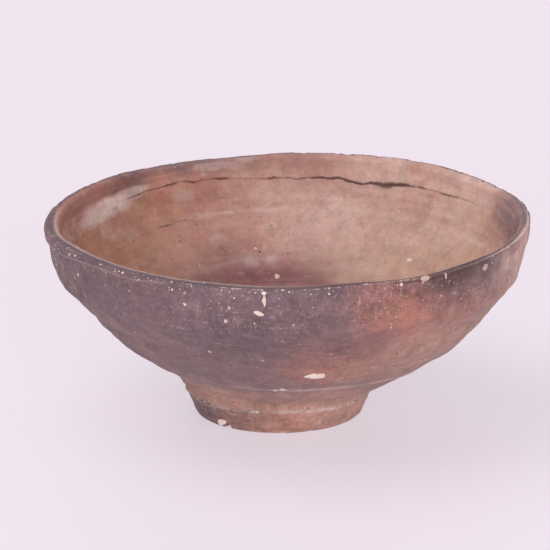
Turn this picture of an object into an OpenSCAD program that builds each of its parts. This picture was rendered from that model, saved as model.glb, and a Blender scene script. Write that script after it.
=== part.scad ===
// Wood-fired tea bowl: a flaring wall, a low upright band under the lip,
// and a small turned foot that sits a little off the bowl's own axis.
// Millimetres, +Z up. The origin is on the bowl's axis, at the plane the foot stands on.

/* [Bowl] */
// Diameter over the lip
rim_d = 142; // [118:1:172]
// Height from the table to the top of the lip
bowl_h = 58.3; // [47:0.1:70]

/* [Band under the lip] */
// Height of the upright band, from the shoulder's corner to the top of the lip
band_h = 15.1; // [11:0.1:18]
// How far the band leans out over its height
band_flare = 3.1; // [1:0.1:6]
// Thickness of the lip at its top
lip_t = 3.6; // [3:0.1:5]
// Height of the bead that runs round the outside of the lip
bead_h = 4.2; // [3:0.1:5.2]
// How far the bead stands out from the band
bead_out = 0.5; // [0.3:0.1:1.2]
// Depth of the lip coil's lower edge below the top of the lip, inside the bowl
lip_coil_depth = 6.5; // [5.4:0.1:8]
// How far the lip coil overhangs the wall below it, inside the bowl
lip_overhang = 0.6; // [0.3:0.1:1.2]

/* [Wall] */
// How far the hip lies inside the shoulder's corner
hip_in = 16.1; // [12:0.1:20]
// How far the hip lies below the shoulder's corner
hip_drop = 18.5; // [15:0.1:23]
// Radius of the curve that rounds the hip
hip_round = 39; // [15:1:45]
// Radius of the curve that rounds the shoulder
shoulder_round = 2.5; // [1:0.1:4]
// Wall thickness at the shoulder
shoulder_t = 4.3; // [3.4:0.1:6]
// Wall thickness at the hip
hip_t = 5.2; // [4:0.1:7]
// Wall thickness where the wall runs into the foot
root_t = 6.2; // [5:0.1:8]
// Thickness of the floor inside the bowl
floor_t = 6; // [4.5:0.1:8]
// Radius of the curve between the floor and the wall
well_round = 30; // [12:1:36]
// Length of the outside lap of the shoulder coil over the wall below it
lap_out = 1.2; // [0.9:0.1:2.5]
// Length of the inside lap of the wall over the shoulder coil
lap_in = 1.5; // [1:0.1:3]

/* [Foot] */
// Diameter of the foot where it stands
foot_d = 48; // [40:0.5:58]
// Diameter of the foot ring at its upper edge
ledge_d = 55; // [50:0.5:66]
// Height of the foot ring
foot_h = 7; // [5.5:0.1:9]
// Width of the ledge between the foot ring and the neck above it
ledge_w = 0.7; // [0.3:0.1:1.5]
// How far the foot's axis lies from the bowl's axis, towards -X
foot_offset = 2.5; // [0:0.1:3.5]
// How far the wall tucks in behind the neck
neck_tuck = 1.3; // [0.5:0.1:3]
// Diameter of the hollow under the foot, at its mouth
hollow_d = 35; // [28:0.5:38]
// Diameter of the hollow at its ceiling
ceiling_d = 31; // [24:0.5:34]
// Radius on the foot ring's edges
foot_edge = 0.8; // [0.4:0.1:1.2]

/* [Stones] */
// Depth to which a stone is set in the clay, for each millimetre of its diameter
stone_bed = 0.3; // [0.2:0.05:0.4]
// How far a stone stands out of the clay
stone_proud = 0.4; // [0.3:0.05:0.6]
// How far a stone's upright edge reaches above and below the clay's surface
stone_edge = 0.25; // [0.2:0.01:0.29]

/* [Hidden] */
$fn = 144;
arc_steps = 8;   // straight steps in each rounded corner
buried = 0.5;    // how far the neck runs on into the wall that it carries

lip_edge = 0.25 * lip_t;   // the lip's outer edge is sharp
lip_crown = 0.5 * lip_t;   // its inner edge is pinched round
bead_round = 0.8 * bead_out;
lean = atan2(band_h, band_flare);
// Radius of the lip's outer corner before it is rounded off to the bowl's full width
lip_r = rim_d / 2 + lip_edge * (1 / tan(lean / 2) - 1);
neck_r = ledge_d / 2 - ledge_w;
floor_z = foot_h + floor_t;

// Outer corners of the wall, from the foot up, as [radius, height]
root = [neck_r - foot_offset - neck_tuck, foot_h];
shoulder = [lip_r - bead_out - band_flare, bowl_h - band_h];
hip = shoulder - [hip_in, hip_drop];
band_top = [lip_r - bead_out, bowl_h];
lip_out = [lip_r, bowl_h];

// Inner corners of the wall
lip_in = [lip_r - lip_t, bowl_h];
shoulder_in = inset(hip, shoulder, band_top, shoulder_t);
hip_inner = inset(root, hip, shoulder, hip_t);
root_in = root + root_t * left_of(root, hip);
well = at_height(hip_inner, root_in, floor_z);

// Ends of the slanting laps between the coils
lip_lap_out = at_height(shoulder, band_top, bowl_h - bead_h);
lip_lap_in = at_height(shoulder_in, lip_in, bowl_h - lip_coil_depth);
bead_low = lip_lap_out + [bead_out, 0];
drip_low = lip_lap_in - [lip_overhang, 0];
shoulder_lap_out = along(shoulder, hip, lap_out);
shoulder_lap_in = along(shoulder_in, lip_in, lap_in);

// Stretches that carry stones, each with its lower and its upper end.
// Seen from below upwards, an outer face has the air on its right and an inner one on its left.
OUTSIDE = -1;
INSIDE = 1;
lower_wall = [root, hip, OUTSIDE];
upper_wall = [hip, shoulder, OUTSIDE];
band = [shoulder, band_top, OUTSIDE];
bead = [bead_low, lip_out, OUTSIDE];
lower_inside = [well, hip_inner, INSIDE];
upper_inside = [hip_inner, shoulder_in, INSIDE];

// Stones in the wall: angle round the bowl from +X, stretch, place up that stretch from 0 to 1, diameter
STONES = [
    [-83, upper_wall, 0.12, 4.8],
    [-93, lower_wall, 0.70, 2.2],
    [-97, band, 0.50, 2.4],
    [-105, band, 0.30, 1.8],
    [-115, band, 0.56, 1.8],
    [-96, bead, 0.45, 2.2],
    [-36, bead, 0.45, 2.2],
    [-56, bead, 0.48, 2.2],
    [95, lower_inside, 0.80, 2.0],
    [47, upper_inside, 0.30, 1.8]
];
// The stone in the foot ring: angle round the foot, place up the ring from 0 to 1, diameter
FOOT_STONE = [-132, 0.3, 2.0];

function unit(v) = v / norm(v);
function left_of(a, b) = let (u = unit(b - a)) [-u[1], u[0]];
function along(a, b, length) = a + length * unit(b - a);
function at_height(a, b, z) = a + (b - a) * (z - a[1]) / (b[1] - a[1]);

// The corner that a wall of thickness t has on the left of the corner b of the line a-b-c
function inset(a, b, c, t) =
    let (n = unit(left_of(a, b) + left_of(b, c)))
    b + n * t / (n * left_of(a, b));

// Points of the arc of radius r that rounds the corner b of the line a-b-c
function rounded(a, b, c, r) =
    let (
        u = unit(a - b),
        v = unit(c - b),
        half = acos(u * v) / 2,
        middle = b + unit(u + v) * r / sin(half),
        start = b + u * r / tan(half) - middle,
        turn = (180 - 2 * half) * sign(cross(start, b - middle))
    )
    [for (i = [0:arc_steps])
        let (t = turn * i / arc_steps)
        middle + [start[0] * cos(t) - start[1] * sin(t), start[0] * sin(t) + start[1] * cos(t)]];

// Outside of the thrown base, as a solid, up to its lap with the shoulder coil
module base_body()
    rotate_extrude()
        polygon(concat(
            [[0, foot_h], root],
            rounded(root, hip, shoulder, hip_round),
            [shoulder_lap_out, shoulder_lap_in, [0, shoulder_lap_in[1]]]
        ));

// Room inside the bowl, as far up as the shoulder coil's inner lap
module base_room()
    rotate_extrude()
        polygon(concat(
            [[0, floor_z]],
            rounded([0, floor_z], well, hip_inner, well_round),
            rounded(well, hip_inner, shoulder_in, hip_round - hip_t),
            rounded(hip_inner, shoulder_in, lip_in, shoulder_round),
            [shoulder_lap_in, shoulder_lap_in + [0, buried], [0, shoulder_lap_in[1] + buried]]
        ));

module on_foot()
    translate([-foot_offset, 0, 0])
        children();

// Short neck between the wall and the foot ring, on the foot's own axis
module neck()
    let (
        far_side = root + (hip - root) * (neck_r + foot_offset - root[0]) / (hip[0] - root[0])
    )
    on_foot()
        translate([0, 0, foot_h])
            cylinder(r = neck_r, h = far_side[1] - foot_h + buried);

// A stone with its broadest section on the clay's surface, facing +Z
module stone(d)
    rotate_extrude($fn = 24)
        polygon([
            [0, -stone_bed * d],
            [0.3 * d, -stone_bed * d],
            [0.5 * d, -stone_edge],
            [0.5 * d, stone_edge],
            [0.35 * d, stone_proud],
            [0, stone_proud]
        ]);

// A stone on the stretch from low to high, turned to face the stretch's outer or inner side
module stone_on(angle, low, high, side, place, d)
    let (
        p = low + (high - low) * place,
        n = side * left_of(low, high)
    )
    rotate([0, 0, angle])
        translate([p[0], 0, p[1]])
            rotate([0, atan2(n[0], n[1]), 0])
                stone(d);

module wall_stones()
    for (s = STONES)
        stone_on(s[0], s[1][0], s[1][1], s[1][2], s[2], s[3]);

module foot_stone()
    on_foot()
        stone_on(FOOT_STONE[0], [foot_d / 2, 0], [ledge_d / 2, foot_h], OUTSIDE, FOOT_STONE[1], FOOT_STONE[2]);

// The coil that was laid on last and pinched into the lip, with its bead outside
module rim_coil()
    color("rosybrown")
        difference() {
            rotate_extrude()
                polygon(concat(
                    [lip_lap_out],
                    rounded(lip_lap_out, bead_low, lip_out, bead_round),
                    rounded(bead_low, lip_out, lip_in, lip_edge),
                    rounded(lip_out, lip_in, drip_low, lip_crown),
                    [drip_low, lip_lap_in]
                ));
            wall_stones();
        }

// The coil that turns the flaring wall up into the band
module shoulder_coil()
    color("dimgray")
        difference() {
            rotate_extrude()
                polygon(concat(
                    [shoulder_lap_out],
                    rounded(hip, shoulder, band_top, shoulder_round),
                    [lip_lap_out, lip_lap_in, shoulder_lap_in]
                ));
            wall_stones();
        }

// The thrown base: floor, flaring wall and the neck that the foot ring is luted to
module bowl_base()
    color("sienna")
        difference() {
            union() {
                base_body();
                neck();
            }
            base_room();
            wall_stones();
        }

// The foot ring, turned to a taper, with a hollow that opens towards the table
module foot_ring()
    color("peru")
        difference() {
            on_foot()
                rotate_extrude()
                    let (
                        stand_in = [hollow_d / 2, 0],
                        stand_out = [foot_d / 2, 0],
                        ledge = [ledge_d / 2, foot_h],
                        ceiling = [ceiling_d / 2, foot_h]
                    )
                    polygon(concat(
                        rounded(ceiling, stand_in, stand_out, foot_edge),
                        rounded(stand_in, stand_out, ledge, foot_edge),
                        rounded(stand_out, ledge, ceiling, ledge_w / 2),
                        [ceiling]
                    ));
            foot_stone();
        }

// White feldspar stones that the firing left standing in the clay, each in its own bed
module feldspar_stones()
    color("antiquewhite") {
        wall_stones();
        foot_stone();
    }

rim_coil();
shoulder_coil();
bowl_base();
foot_ring();
feldspar_stones();
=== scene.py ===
import math

import bmesh
import bpy
import numpy as np
from bpy.props import FloatProperty, FloatVectorProperty, IntProperty, PointerProperty
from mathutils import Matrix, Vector


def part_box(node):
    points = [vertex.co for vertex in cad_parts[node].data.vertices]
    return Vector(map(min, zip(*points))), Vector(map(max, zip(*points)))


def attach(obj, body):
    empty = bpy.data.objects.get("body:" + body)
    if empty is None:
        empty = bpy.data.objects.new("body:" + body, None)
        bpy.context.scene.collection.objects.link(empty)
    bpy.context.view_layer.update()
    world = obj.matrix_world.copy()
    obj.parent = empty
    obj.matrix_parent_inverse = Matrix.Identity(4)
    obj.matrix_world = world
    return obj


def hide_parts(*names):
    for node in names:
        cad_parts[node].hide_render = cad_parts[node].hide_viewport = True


bl_info = {
    "name": "Wood-Fired Tea Bowl",
    "version": (1, 0, 0),
    "blender": (4, 5, 0),
    "location": "View3D > Sidebar > Tea Bowl",
    "description": "Builds a thrown and wood-fired tea bowl, with its foot, stones and stage",
    "category": "Object",
}

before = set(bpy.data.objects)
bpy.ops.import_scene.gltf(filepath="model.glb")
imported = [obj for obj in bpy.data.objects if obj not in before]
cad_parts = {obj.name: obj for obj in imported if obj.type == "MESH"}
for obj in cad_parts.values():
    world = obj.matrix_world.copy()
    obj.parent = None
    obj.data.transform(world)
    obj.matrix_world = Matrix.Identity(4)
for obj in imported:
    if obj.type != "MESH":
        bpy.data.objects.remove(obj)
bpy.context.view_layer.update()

MM = 0.001
LIP_LOW, LIP_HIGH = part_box("rim_coil")
COIL_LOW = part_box("shoulder_coil")[0]
BASE_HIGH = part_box("bowl_base")[1]
RING_LOW, RING_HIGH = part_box("foot_ring")

RIM_RADIUS = (LIP_HIGH.x - LIP_LOW.x) / 2
HEIGHT = LIP_HIGH.z
FOOT_HEIGHT = RING_HIGH.z
FOOT_SHIFT = (RING_LOW.x + RING_HIGH.x) / 2
LEDGE_RADIUS = (RING_HIGH.x - RING_LOW.x) / 2


# ---------------------------------------------------------------- sizes and colours


def number(name, description, default, **settings):
    return FloatProperty(name=name, description=description, default=default, **settings)


def length(name, description, default_mm):
    return number(name, description, default_mm * MM, min=0, unit="LENGTH", precision=5)


def colour(name, description, rgb):
    """A colour that a user picks, given as screen values from 0 to 255."""
    linear = [((c / 255 + 0.055) / 1.055) ** 2.4 for c in rgb]
    return FloatVectorProperty(
        name=name, description=description, default=linear, size=3, min=0, max=1, subtype="COLOR"
    )


class TeaBowlSizes(bpy.types.PropertyGroup):
    band_height: length("Band height", "From the shoulder's corner to the top of the lip", 15.1)
    band_flare: length("Band flare", "How far the band leans out over its height", 3.1)
    lip_thickness: length("Lip thickness", "Thickness of the lip at its top", 3.4)
    lip_edge: length("Lip edge", "Radius of the lip's outer edge", 0.9)
    lip_round: length("Lip radius", "Radius of the lip's inner edge", 1.9)
    lip_slope: length("Lip slope", "How far the lip's top falls towards the inside", 0.9)
    bead_height: length("Bead height", "Height of the bead outside the lip", 4.2)
    bead_out: length("Bead", "How far the bead stands out from the band", 0.55)
    overhang: length("Lip overhang", "How far the lip coil hangs over the wall inside", 0.7)
    hip_in: length("Hip inset", "How far the hip lies inside the shoulder", 16.1)
    hip_drop: length("Hip drop", "How far the hip lies below the shoulder", 18.5)
    hip_round: length("Hip radius", "Radius of the curve at the hip", 39)
    shoulder_round: length("Shoulder radius", "Radius of the curve at the shoulder", 2.2)
    shoulder_wall: length("Shoulder wall", "Wall thickness at the shoulder", 4.3)
    hip_wall: length("Hip wall", "Wall thickness at the hip", 5.2)
    root_wall: length("Root wall", "Wall thickness where the wall meets the foot", 6.2)
    floor: length("Floor", "Thickness of the floor above the foot ring", 6)
    well_round: length("Well radius", "Radius of the curve between floor and wall", 30)
    neck_step: length("Ledge width", "Width of the ledge between foot ring and neck", 0.25)
    neck_height: length("Neck height", "Height of the neck above the foot ring", 2.4)
    foot_radius: length("Foot radius", "Radius of the foot where it stands", 24)
    hollow_radius: length("Hollow radius", "Radius of the hollow under the foot, at its mouth", 17.5)
    ceiling_radius: length("Ceiling radius", "Radius of the hollow at its ceiling", 15.5)
    foot_edge: length("Foot edge", "Radius on the foot ring's edges", 0.9)
    rim_rise: length("Rim rise", "How much higher the lip is at +X than in the middle", 0.75)
    belly_shift: length("Belly shift", "How far the lower wall lies towards +X", 1.0)


class TeaBowlColours(bpy.types.PropertyGroup):
    grey: colour("Grey", "Purple-grey where the flame ran over the outside", (118, 96, 100))
    dusk: colour("Dusk", "Darkest purple of the flashing", (96, 76, 82))
    red: colour("Red", "Red-brown flashing", (168, 114, 100))
    brown: colour("Brown", "Brown of the turned clay near the foot", (168, 129, 115))
    tan: colour("Tan", "Tan of the clay away from the flame", (178, 140, 124))
    pink: colour("Pink", "Pinkish tan inside the bowl", (197, 162, 149))
    olive: colour("Olive", "Tan with a trace of green ash", (196, 163, 138))
    orange: colour("Orange", "Orange-brown inside, on the left", (166, 116, 92))
    plum: colour("Plum", "Plum blotch in the well", (126, 80, 82))
    ash: colour("Ash", "Dry pale ash", (205, 180, 172))
    # Also painted as a highlight along the lip's inner edge, and partly as one along the foot's ledge.
    pale: colour("Pale", "Clay laid bare on worn edges", (212, 192, 182))
    # Also used as painted shade: in the lap under the lip's overhang, under the bead, under the wall's flare
    # and under the rim inside.
    stain_and_shade: colour("Stain", "Dark clay in cracks and laps", (84, 58, 52))
    stone: colour("Stone", "Feldspar", (228, 211, 200))


class TeaBowlStage(bpy.types.PropertyGroup):
    backdrop: colour("Backdrop", "Colour of the floor and its sweep", (243, 233, 242))
    glow: number("Glow", "Light that the sweep gives off, as in a light tent", 0.60)
    paper: number("Paper", "Share of the light that the sweep sends back", 0.35)
    sky: number("Sky", "Strength of the even light from all sides", 0.52)
    pitch: number("Pitch", "How far the camera looks down", math.radians(17.0), subtype="ANGLE")
    distance: length("Distance", "From the camera to the bowl", 2400)
    focal: number("Focal length", "Of the camera's lens, in millimetres", 537)
    aim_x: number("Aim across", "Point that the camera faces", -0.0036, unit="LENGTH")
    aim_z: number("Aim height", "Point that the camera faces", 0.041, unit="LENGTH")


# ---------------------------------------------------------------- random fields


def cell_noise(points, seed):
    """Smooth random values from -1 to 1, with cells one unit wide."""
    cell = np.floor(points).astype(np.int64)
    part = points - cell
    ease = part * part * part * (part * (part * 6 - 15) + 10)
    total = np.zeros(points.shape[:-1])
    for corner in np.ndindex(2, 2, 2):
        at = cell + corner
        code = at[..., 0] * 73856093 ^ at[..., 1] * 19349663 ^ at[..., 2] * 83492791 ^ (seed * 40503)
        code = (code ^ (code >> 13)) * 1274126177 & 0xFFFFFFFF
        code = code ^ (code >> 16)
        weight = np.prod(np.where(np.array(corner, bool), ease, 1 - ease), axis=-1)
        total += weight * ((code & 0xFFFF) / 32767.5 - 1)
    return total


def layered_noise(points, seed, layers=3):
    """Noise with finer and fainter noise on top."""
    total = np.zeros(points.shape[:-1])
    for k in range(layers):
        total += cell_noise(points * 2**k, seed + k) / 2**k
    return total


def clouds(points, size, seed, layers=3):
    """Layered noise whose largest clouds have that size in millimetres."""
    return layered_noise(points / (size * MM), seed, layers)


def streaks(points, girth, around, across, seed):
    """Noise drawn out round the bowl: around and across are its sizes along and over the throwing lines."""
    stretched = np.stack([points[..., 0] / around, points[..., 1] / around, girth / across], axis=-1)
    return layered_noise(stretched, seed, 2)


def hump(x, middle, width):
    return np.exp(-(((x - middle) / width) ** 2))


def ramp(x, low, high):
    """Runs smoothly from 0 at low to 1 at high."""
    t = np.clip((x - low) / (high - low), 0, 1)
    return t * t * (3 - 2 * t)


def from_side(angle, degrees):
    """Signed angle, in radians and within half a turn, from the side that lies at those degrees."""
    return (angle - math.radians(degrees) + math.pi) % (2 * math.pi) - math.pi


def at_side(angle, degrees, spread):
    """Fades round the bowl from 1 at that side."""
    return hump(from_side(angle, degrees), 0, spread)


def ring_angles(columns):
    return np.linspace(-math.pi, math.pi, columns, endpoint=False)


def ring_points(radius, angle, height, shift=0.0):
    """Points round an axis that lies that far towards +X."""
    x, y = radius * np.cos(angle) + shift, radius * np.sin(angle)
    return np.stack([x, y, height + 0 * x], axis=-1)


def blend(colour, tone, weight):
    """Colours carried towards a tone, as far as the weight says at each point."""
    return colour + (np.array(tone) - colour) * weight[..., None]


# ---------------------------------------------------------------- the wall's outline


def unit(v):
    return v / np.linalg.norm(v)


def point(radius, height):
    return np.array([radius, height])


def left_of(a, b):
    along = unit(b - a)
    return np.array([-along[1], along[0]])


def inset(a, b, c, wall):
    """Inner corner of a wall of that thickness, on the left of the corner b."""
    n = unit(left_of(a, b) + left_of(b, c))
    return b + n * wall / n.dot(left_of(a, b))


def rounded(a, b, c, radius, steps=14):
    """Points of the arc that rounds the corner b."""
    u, v = unit(a - b), unit(c - b)
    half = math.acos(u.dot(v)) / 2
    middle = b + unit(u + v) * radius / math.sin(half)
    start = b + u * radius / math.tan(half) - middle
    inward = b - middle
    turn = (math.pi - 2 * half) * np.sign(start[0] * inward[1] - start[1] * inward[0])
    side = np.array([-start[1], start[0]])
    return [middle + (start * math.cos(t) + side * math.sin(t)) for t in np.linspace(0, turn, steps)]


class Outline:
    """A line of (radius, height) points, measured by its length from the first one."""

    def __init__(self, points, spacing=0.1 * MM, soften=0.35 * MM):
        points = np.array(points)
        run = np.concatenate([[0], np.cumsum(np.linalg.norm(np.diff(points, axis=0), axis=1))])
        self.girth = np.linspace(0, run[-1], int(run[-1] / spacing))
        line = np.stack([np.interp(self.girth, run, points[:, k]) for k in (0, 1)], axis=1)
        reach = int(3 * soften / spacing)
        bell = np.exp(-((np.arange(-reach, reach + 1) * spacing / soften) ** 2) / 2)
        before = 2 * line[0] - line[reach:0:-1]
        after = 2 * line[-1] - line[-2 : -reach - 2 : -1]
        padded = np.concatenate([before, line, after])
        self.line = np.stack([np.convolve(padded[:, k], bell / bell.sum(), "valid") for k in (0, 1)], axis=1)
        self.slope = np.gradient(self.line, axis=0)
        self.slope /= np.linalg.norm(self.slope, axis=1)[:, None]
        self.top = self.girth[np.argmax(self.line[:, 1])]

    def at(self, girth):
        """Radius, height, and the slope's radial and upward parts there."""
        values = np.concatenate([self.line, self.slope], axis=1)
        return [np.interp(girth, self.girth, values[:, k]) for k in range(4)]

    def outside_at(self, height):
        """Where the outside reaches that height."""
        part = self.girth <= self.top
        return float(np.interp(height, self.line[part, 1], self.girth[part]))

    def inside_at(self, height):
        part = self.girth > self.top
        return float(np.interp(-height, -self.line[part, 1], self.girth[part]))


def wall_outline(sizes):
    """From the foot ring's upper face up the outside, over the lip, and down to the floor's middle."""
    neck = LEDGE_RADIUS - sizes.neck_step
    lip_radius = RIM_RADIUS - sizes.bead_out + 0.2 * sizes.lip_edge
    neck_low = point(neck, FOOT_HEIGHT)
    neck_high = point(neck, FOOT_HEIGHT + sizes.neck_height)
    shoulder = point(lip_radius - sizes.band_flare, HEIGHT - sizes.band_height)
    hip = shoulder - (sizes.hip_in, sizes.hip_drop)
    lip_out = point(lip_radius, HEIGHT)
    lip_in = point(lip_radius - sizes.lip_thickness, HEIGHT - sizes.lip_slope)
    shoulder_in = inset(hip, shoulder, lip_out, sizes.shoulder_wall)
    hip_inner = inset(neck_high, hip, shoulder, sizes.hip_wall)
    root_in = neck_high + sizes.root_wall * left_of(neck_high, hip)
    floor_z = FOOT_HEIGHT + sizes.floor
    down = root_in - hip_inner
    well = hip_inner + down * (floor_z - hip_inner[1]) / down[1]
    middle = point(0, floor_z)
    return Outline(
        [neck_low]
        + rounded(neck_low, neck_high, hip, 4 * MM)
        + rounded(neck_high, hip, shoulder, sizes.hip_round)
        + rounded(hip, shoulder, lip_out, sizes.shoulder_round)
        + rounded(shoulder, lip_out, lip_in, sizes.lip_edge)
        + rounded(lip_out, lip_in, shoulder_in, sizes.lip_round)
        + rounded(lip_in, shoulder_in, hip_inner, sizes.shoulder_round)
        + rounded(shoulder_in, hip_inner, well, sizes.hip_round - sizes.hip_wall)
        + rounded(hip_inner, well, middle, sizes.well_round)
        + [middle]
    )


LAP_REACH = 2.6 * MM  # how far from the lap under the lip the clay is drawn along with it

# Angles round the bowl in degrees, and how far the bead's lower edge lies below the lip there, in mm.
# The angles start at -120 and go once round, with some on both sides of the start.
BEAD_START = 120
BEAD_DROPS = (
    (-135, -120, -90, -45, 0, 45, 90, 130, 160, 180, 195, 212, 230, 250, 270),
    (1.6, 1.1, 0.9, 0.8, 1.0, 1.5, 3.6, 5.0, 5.2, 4.3, 3.0, 2.1, 1.5, 0.9, 0.9),
)
# Angles in degrees, and how far the lip's top is lifted there, in mm
LIP_LIFTS = (
    (-180, -150, -120, -95, -75, -62, -50, -40, -28, 0, 60, 180),
    (0.5, 1.1, 1.2, 1.1, 0.9, 0.2, 0.5, 0.8, 0.1, 0.0, 0.0, 0.5),
)
# Angles in radians past 95 degrees, and how far the ring inside lies below the band's corner, in mm
RING_DROPS = ((0, 0.38, 0.64, 0.9), (3.0, 3.6, 5.2, 6.4))


class Wall:
    """The bowl's wall: its outline, the places of its laps, and its uneven thrown surface."""

    def __init__(self, sizes):
        self.sizes = sizes
        self.line = wall_outline(sizes)
        self.lap_low_out = self.line.outside_at(COIL_LOW.z)
        self.lap_low_in = self.line.inside_at(BASE_HIGH.z)
        self.lap_high_out = self.line.outside_at(HEIGHT - sizes.bead_height)
        self.lap_high_in = self.line.inside_at(LIP_LOW.z)
        self.crest_out = self.line.outside_at(HEIGHT - 0.45 * MM)
        self.crest_in = self.line.inside_at(HEIGHT - 1.5 * MM)
        self.brow = self.line.top + 1.55 * MM
        self.corner_in = self.line.inside_at(HEIGHT - sizes.band_height + 2 * MM)
        self.end = float(self.line.girth[-1])

    def surface(self, girth, angle):
        """Points of the surface, for girth and angle arrays of one shape."""
        radius, height, slope_r, slope_z = self.line.at(girth)
        above_neck = np.where(girth < self.line.top, ramp(height, 9.5 * MM, 14 * MM), 1)
        lopsided = self.sizes.belly_shift * (1 - ramp(height, 27 * MM, 44 * MM))
        shift = FOOT_SHIFT * (1 - above_neck) + lopsided * above_neck
        smooth = ring_points(radius, angle, height, shift)
        proud = self.relief(smooth, girth, angle)
        slip = self.waver(smooth, girth, angle)
        radius = radius + slope_z * proud + slope_r * slip
        height = height - slope_r * proud + slope_z * slip
        return self.lean(ring_points(radius, angle, height, shift), angle)

    def lean(self, points, angle):
        """The whole bowl's slight unevenness: out of round, and a lip that isn't level."""
        share = np.clip(points[..., 2] / HEIGHT, 0, 1.1)
        swell = 1 + share**2 * (0.0035 * np.cos(2 * angle - 0.4) + 0.0020 * np.cos(3 * angle + 1.0))
        swell = swell + share**3 * 0.006 * at_side(angle, 0, 0.4)
        rise = share**3 * (
            self.sizes.rim_rise * np.cos(angle)
            + 0.22 * MM * np.sin(2 * angle + 0.5)
            + 0.20 * MM * np.sin(5 * angle + 2.0)
            + 0.12 * MM * np.sin(9 * angle)
            + 0.3 * MM * at_side(angle, 75, 0.7)
            + 0.5 * MM * at_side(angle, -140, 0.6)
        )
        ledge_rise = 0.9 * MM * hump(points[..., 2], 8 * MM, 4 * MM) * at_side(angle, -90, 1.1)
        out = points.copy()
        out[..., :2] *= swell[..., None]
        out[..., 2] += rise + ledge_rise
        return out

    def waver(self, points, girth, angle):
        """How far a point moves along the outline, so that the laps run unevenly."""
        drift = clouds(points, 13, 71) * 0.75 * MM + clouds(points, 2.5, 72) * 0.2 * MM
        dip = 0.9 * MM * at_side(angle, 66, 0.22)
        drift = drift + 1.2 * MM * (at_side(angle, 88, 0.14) - at_side(angle, 112, 0.2))
        return hump(girth, self.lap_high_in, LAP_REACH) * (drift + dip)

    def bead_edge(self, points, angle):
        """Where the bead ends below: it runs down from the lip's front to the left, and back up behind."""
        start = math.radians(BEAD_START)
        sides, drops = np.radians(BEAD_DROPS[0]), np.array(BEAD_DROPS[1])
        drop = np.interp(np.mod(angle + start, 2 * math.pi), sides + start, drops) * MM
        drop = drop + 0.3 * MM * clouds(points, 9, 31)
        heights = HEIGHT - np.linspace(0.5 * MM, 9 * MM, 40)
        girths = [self.line.outside_at(z) for z in heights]
        return np.interp(-drop, heights[::-1] - HEIGHT, girths[::-1])

    def lap_depth(self, points, angle):
        """How open the lap under the lip is: wide at the back and right, and nearly shut elsewhere."""
        open_side = 0.4 + 0.22 * at_side(angle, 72, 0.4) + 0.8 * at_side(angle, 64, 0.06)
        open_side *= ramp(from_side(angle, 20), -0.05, 0.75) + 0.1
        open_side *= 1 - 0.95 * ramp(from_side(angle, 135), -0.05, 0.15)
        return np.clip(open_side * (1 + 0.6 * clouds(points, 4, 81)), 0.03, 1.3)

    def relief(self, points, girth, angle):
        """Height of the clay over the plain outline."""
        inside = girth > self.line.top
        height = points[..., 2]
        lip = hump(girth, self.line.top, 4 * MM)
        calm = np.where(inside, 0.55, 1.0) * (1 - 0.6 * lip)
        broad = streaks(points, girth, 60 * MM, 6.0 * MM, 1) * 0.26 * MM
        lines = streaks(points, girth, 40 * MM, 2.2 * MM, 2) * 0.15 * MM
        scratches = streaks(points, girth, 14 * MM, 0.9 * MM, 3) * 0.045 * MM
        lumps = clouds(points, 15, 4) * 0.16 * MM + clouds(points, 4, 5) * 0.07 * MM
        grain = clouds(points, 1.5, 6, 2) * 0.035 * MM
        rough_foot = 1 + 0.9 * (1 - ramp(height, 16 * MM, 24 * MM)) * ~inside
        total = calm * (broad + lines) + (scratches + lumps + grain) * rough_foot
        total += np.where(inside, self.inside_features(points, girth, angle), 0)
        total += np.where(inside, 0, self.outside_features(points, girth, angle, height))
        return total + self.lip_wear(points, girth, angle)

    def outside_features(self, points, girth, angle, height):
        strong = 0.35 + 0.75 * at_side(angle, -160, 0.7) + 0.3 * at_side(angle, -20, 0.6)
        edge = self.bead_edge(points, angle)
        bead = self.sizes.bead_out * strong * ramp(girth, edge - 0.4 * MM, edge + 0.4 * MM)
        bead *= 1 - ramp(girth, self.crest_out - 1.5 * MM, self.crest_out + 1.5 * MM)
        fade = 0.6 + 0.4 * clouds(points, 30, 32)
        thrown_ridge = 0.34 * MM * fade * hump(height, 31 * MM, 1.3 * MM)
        thrown_groove = 0.2 * MM * hump(height, 33.4 * MM, 1.2 * MM)
        turned = 0.34 * MM * hump(height, 19.2 * MM, 0.8 * MM) - 0.22 * MM * hump(height, 17.4 * MM, 1.3 * MM)
        shoulder = 0.16 * MM * fade * hump(girth, self.lap_low_out + 1.6 * MM, 1.0 * MM)
        return bead + (thrown_ridge - thrown_groove) + turned + shoulder

    def inside_features(self, points, girth, angle):
        depth = self.lap_depth(points, angle)
        lap = self.lap_high_in
        hang = self.sizes.overhang * (0.1 + 0.25 * depth) * ramp(girth, lap - LAP_REACH, lap)
        groove = -0.3 * MM * depth * hump(girth, lap + 0.1 * MM, 0.5 * MM)
        crack = -0.15 * MM * at_side(angle, 125, 0.17) * hump(girth, self.ring_path(angle), 0.35 * MM)
        ridge = 0.30 * MM * hump(girth, self.corner_in, 0.9 * MM)
        ridge = ridge - 0.2 * MM * hump(girth, self.corner_in + 1.9 * MM, 1.1 * MM)
        return np.where(girth <= lap, hang, groove) + ridge + crack + self.lip_lift(girth, angle)

    def lip_lift(self, girth, angle):
        """The lip's top slopes inwards on the right and is nearly level elsewhere."""
        lift = np.interp(from_side(angle, 0), np.radians(LIP_LIFTS[0]), np.array(LIP_LIFTS[1]) * MM)
        near = ramp(girth, self.line.top, self.line.top + 2.2 * MM)
        return lift * near * (1 - ramp(girth, self.crest_in + 0.5 * MM, self.crest_in + 3.5 * MM))

    def ring_path(self, angle):
        """The line inside, low on the band, where a crack and a pale ring run."""
        return self.corner_in + np.interp(from_side(angle, 95), *RING_DROPS) * MM

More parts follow.
